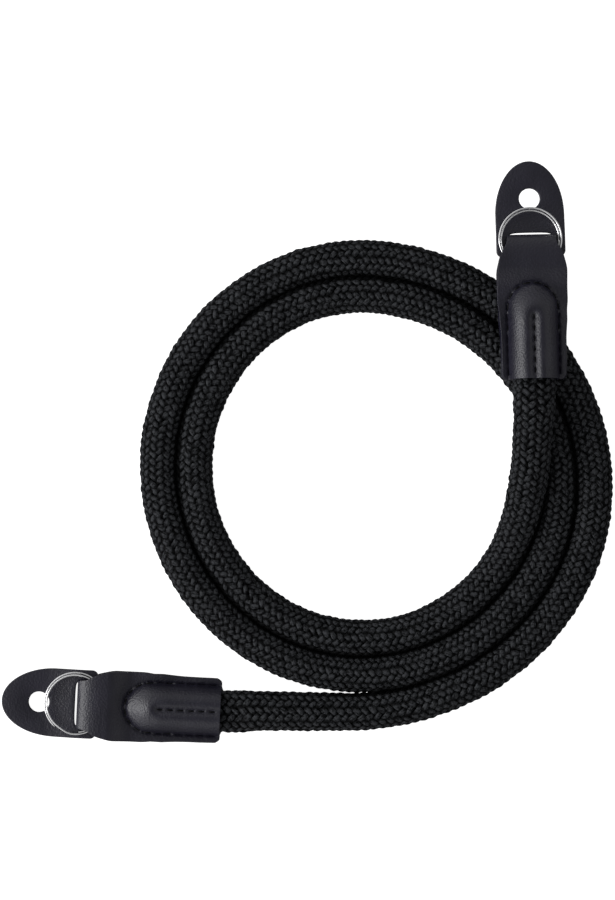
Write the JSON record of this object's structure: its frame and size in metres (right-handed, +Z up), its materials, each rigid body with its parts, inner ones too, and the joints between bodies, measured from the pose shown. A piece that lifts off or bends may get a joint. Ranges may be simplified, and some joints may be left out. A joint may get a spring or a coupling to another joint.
{
  "type": "camera strap",
  "caption": "Coiled camera neck strap: a thick braided rope with folded leather ends that carry split rings and tongue-shaped leather lug protectors.",
  "frame": {"origin": "on the surface that the strap lies on, under the middle of the whole strap", "axes": "+Z up from that surface, +X to the right and +Y to the top of the picture, so the upper leather end points along +Y and the lower one along -X"},
  "size_m": [0.1714, 0.1627, 0.0211],
  "materials": {
    "rope": "black braided nylon, matte strands that pass over two and under two",
    "leather": "black leather, fine matte grain, sewn with black thread",
    "steel": "bright nickel-plated spring steel"
  },
  "bodies": {
    "strap": {"rope": "rope", "leather_end_a": "leather", "lug_protector_a": "leather", "leather_end_b": "leather", "lug_protector_b": "leather"},
    "ring_a": {"split_ring_a": "steel"},
    "ring_b": {"split_ring_b": "steel"}
  },
  "joints": [
    {"name": "ring_a_turn", "type": "hinge", "parent": "strap", "child": "ring_a", "pos_m": [0.06211, 0.05935, 0.01293], "axis": [-0.0018, 0.0871, 0.9962], "continuous": true},
    {"name": "ring_b_turn", "type": "hinge", "parent": "strap", "child": "ring_b", "pos_m": [-0.06486, -0.07031, 0.00389], "axis": [-0.0349, 0.0016, 0.9994], "continuous": true}
  ]
}
